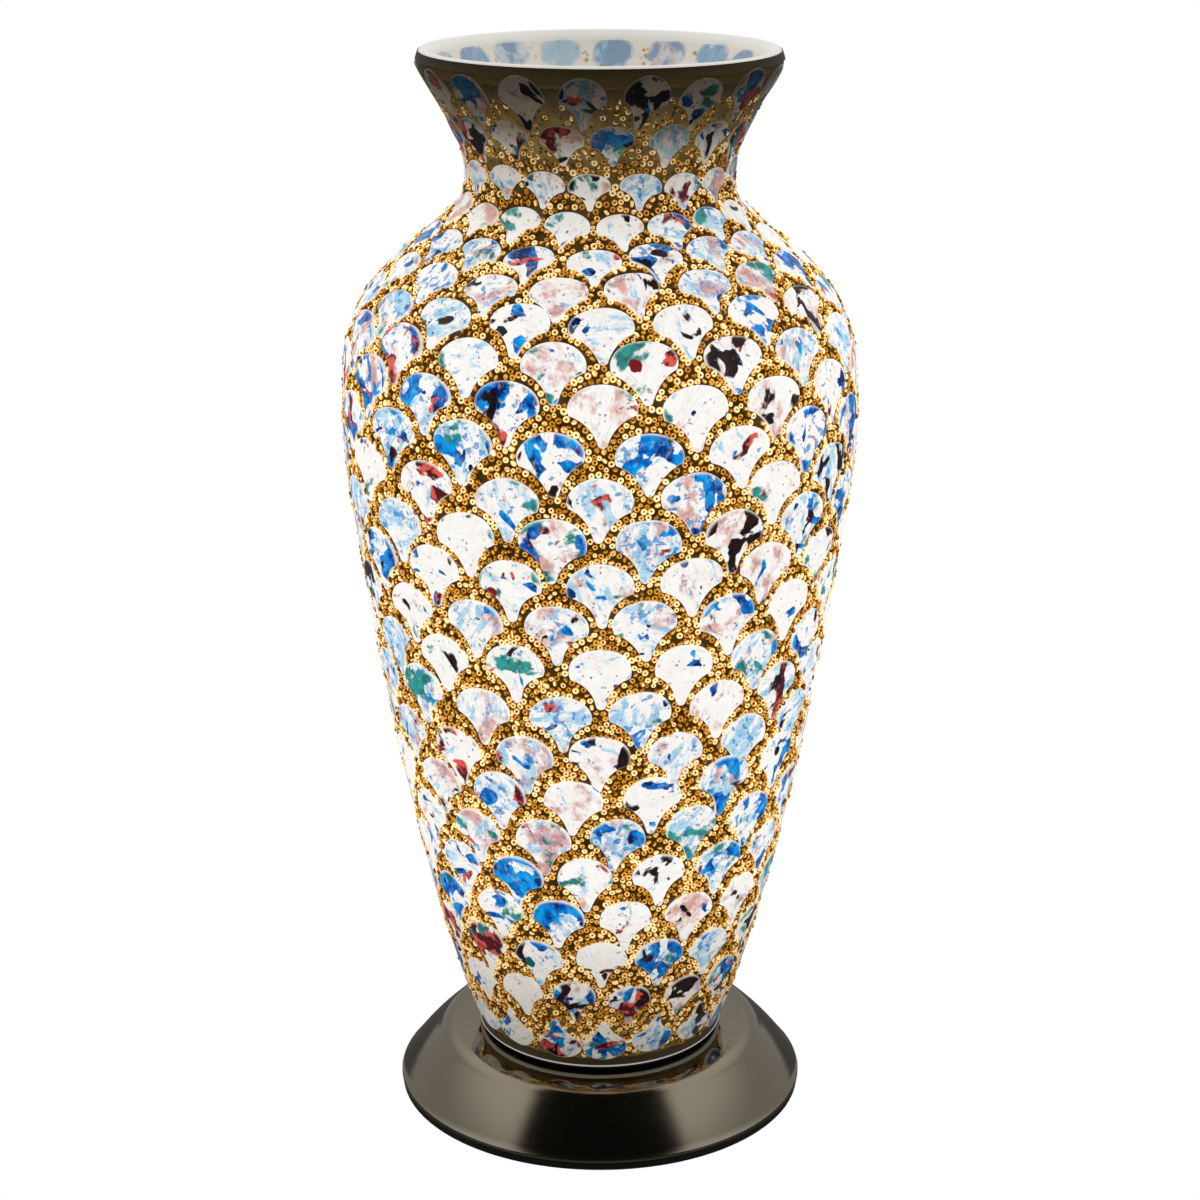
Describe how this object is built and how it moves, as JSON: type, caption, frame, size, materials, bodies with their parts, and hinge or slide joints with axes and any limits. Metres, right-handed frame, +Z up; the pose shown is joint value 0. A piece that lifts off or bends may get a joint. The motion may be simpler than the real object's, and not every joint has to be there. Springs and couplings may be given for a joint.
{
  "type": "mosaic glass table lamp",
  "caption": "Vase-shaped glass table lamp covered in fan-shaped mosaic tiles and small beads, lit from inside, on a round spun metal base; the vase lifts off to reach the bulb.",
  "frame": {"origin": "centre of the underside of the foot pad, where the lamp stands on a table", "axes": "+Z up along the axis of the vase, -Y towards the viewer (the front), +Y towards the cable inlet at the back, +X to the viewer's right"},
  "size_m": [0.1458, 0.1458, 0.31],
  "materials": {
    "gunmetal": "dark gunmetal plating, satin to polished",
    "zinc_steel": "zinc plated",
    "black_rubber": "matt",
    "cast_iron": "as cast",
    "brass": "plain",
    "bakelite": "moulded, glossy",
    "porcelain": "glazed",
    "nickel": "nickel plated",
    "white_plastic": "fine matt",
    "circuit_board": "solder mask",
    "opal_plastic": "opal, glowing",
    "aluminium": "plain",
    "frosted_glass": "frosted, white",
    "glaze": "satin olive brown",
    "mosaic": "polished tiles of speckled opal glass with gold-lined seed beads between them"
  },
  "bodies": {
    "base": {"foot_pad": "black_rubber", "base_cover": "zinc_steel", "base_shell": "gunmetal", "cord_grommet": "black_rubber", "base_weight": "cast_iron", "earth_tag": "brass", "threaded_tube": "zinc_steel", "lower_nut": "zinc_steel", "lower_washer": "zinc_steel", "upper_washer": "zinc_steel", "upper_nut": "zinc_steel", "vase_seat": "zinc_steel", "vase_gasket": "black_rubber", "holder_cap": "bakelite", "holder_body": "bakelite", "holder_insert": "porcelain", "screw_shell": "brass", "centre_contact": "brass", "terminal_screw_live": "brass", "terminal_screw_neutral": "brass"},
    "vase": {"vase_glass": "frosted_glass", "rim_band": "glaze", "mosaic_row_01": "mosaic", "mosaic_row_02": "mosaic", "mosaic_row_03": "mosaic", "mosaic_row_04": "mosaic", "mosaic_row_05": "mosaic", "mosaic_row_06": "mosaic", "mosaic_row_07": "mosaic", "mosaic_row_08": "mosaic", "mosaic_row_09": "mosaic", "mosaic_row_10": "mosaic", "mosaic_row_11": "mosaic", "mosaic_row_12": "mosaic", "mosaic_row_13": "mosaic", "mosaic_row_14": "mosaic", "mosaic_row_15": "mosaic", "mosaic_row_16": "mosaic", "mosaic_row_17": "mosaic", "mosaic_row_18": "mosaic", "mosaic_row_19": "mosaic", "mosaic_row_20": "mosaic", "mosaic_row_21": "mosaic", "mosaic_row_22": "mosaic", "mosaic_row_23": "mosaic", "mosaic_row_24": "mosaic"},
    "bulb_foot": {"bulb_contact": "nickel"},
    "bulb": {"bulb_insulator": "bakelite", "bulb_cap": "nickel", "bulb_housing": "white_plastic", "led_driver": "circuit_board", "led_board": "aluminium", "bulb_globe": "opal_plastic"}
  },
  "joints": [
    {"name": "vase_lift", "type": "slide", "parent": "base", "child": "vase", "axis": [0, 0, 1], "range_m": [0, 0.15]},
    {"name": "bulb_rise", "type": "slide", "parent": "base", "child": "bulb_foot", "axis": [0, 0, 1], "range_m": [0, 0.0146]},
    {"name": "bulb_turn", "type": "hinge", "parent": "bulb_foot", "child": "bulb", "pos_m": [0, 0, 0.0539], "axis": [0, 0, 1], "range_deg": [0, 1440]}
  ],
  "couplings": [
    {"joint": "bulb_rise", "follows": "bulb_turn", "m_per_rad": 0.00057757}
  ]
}
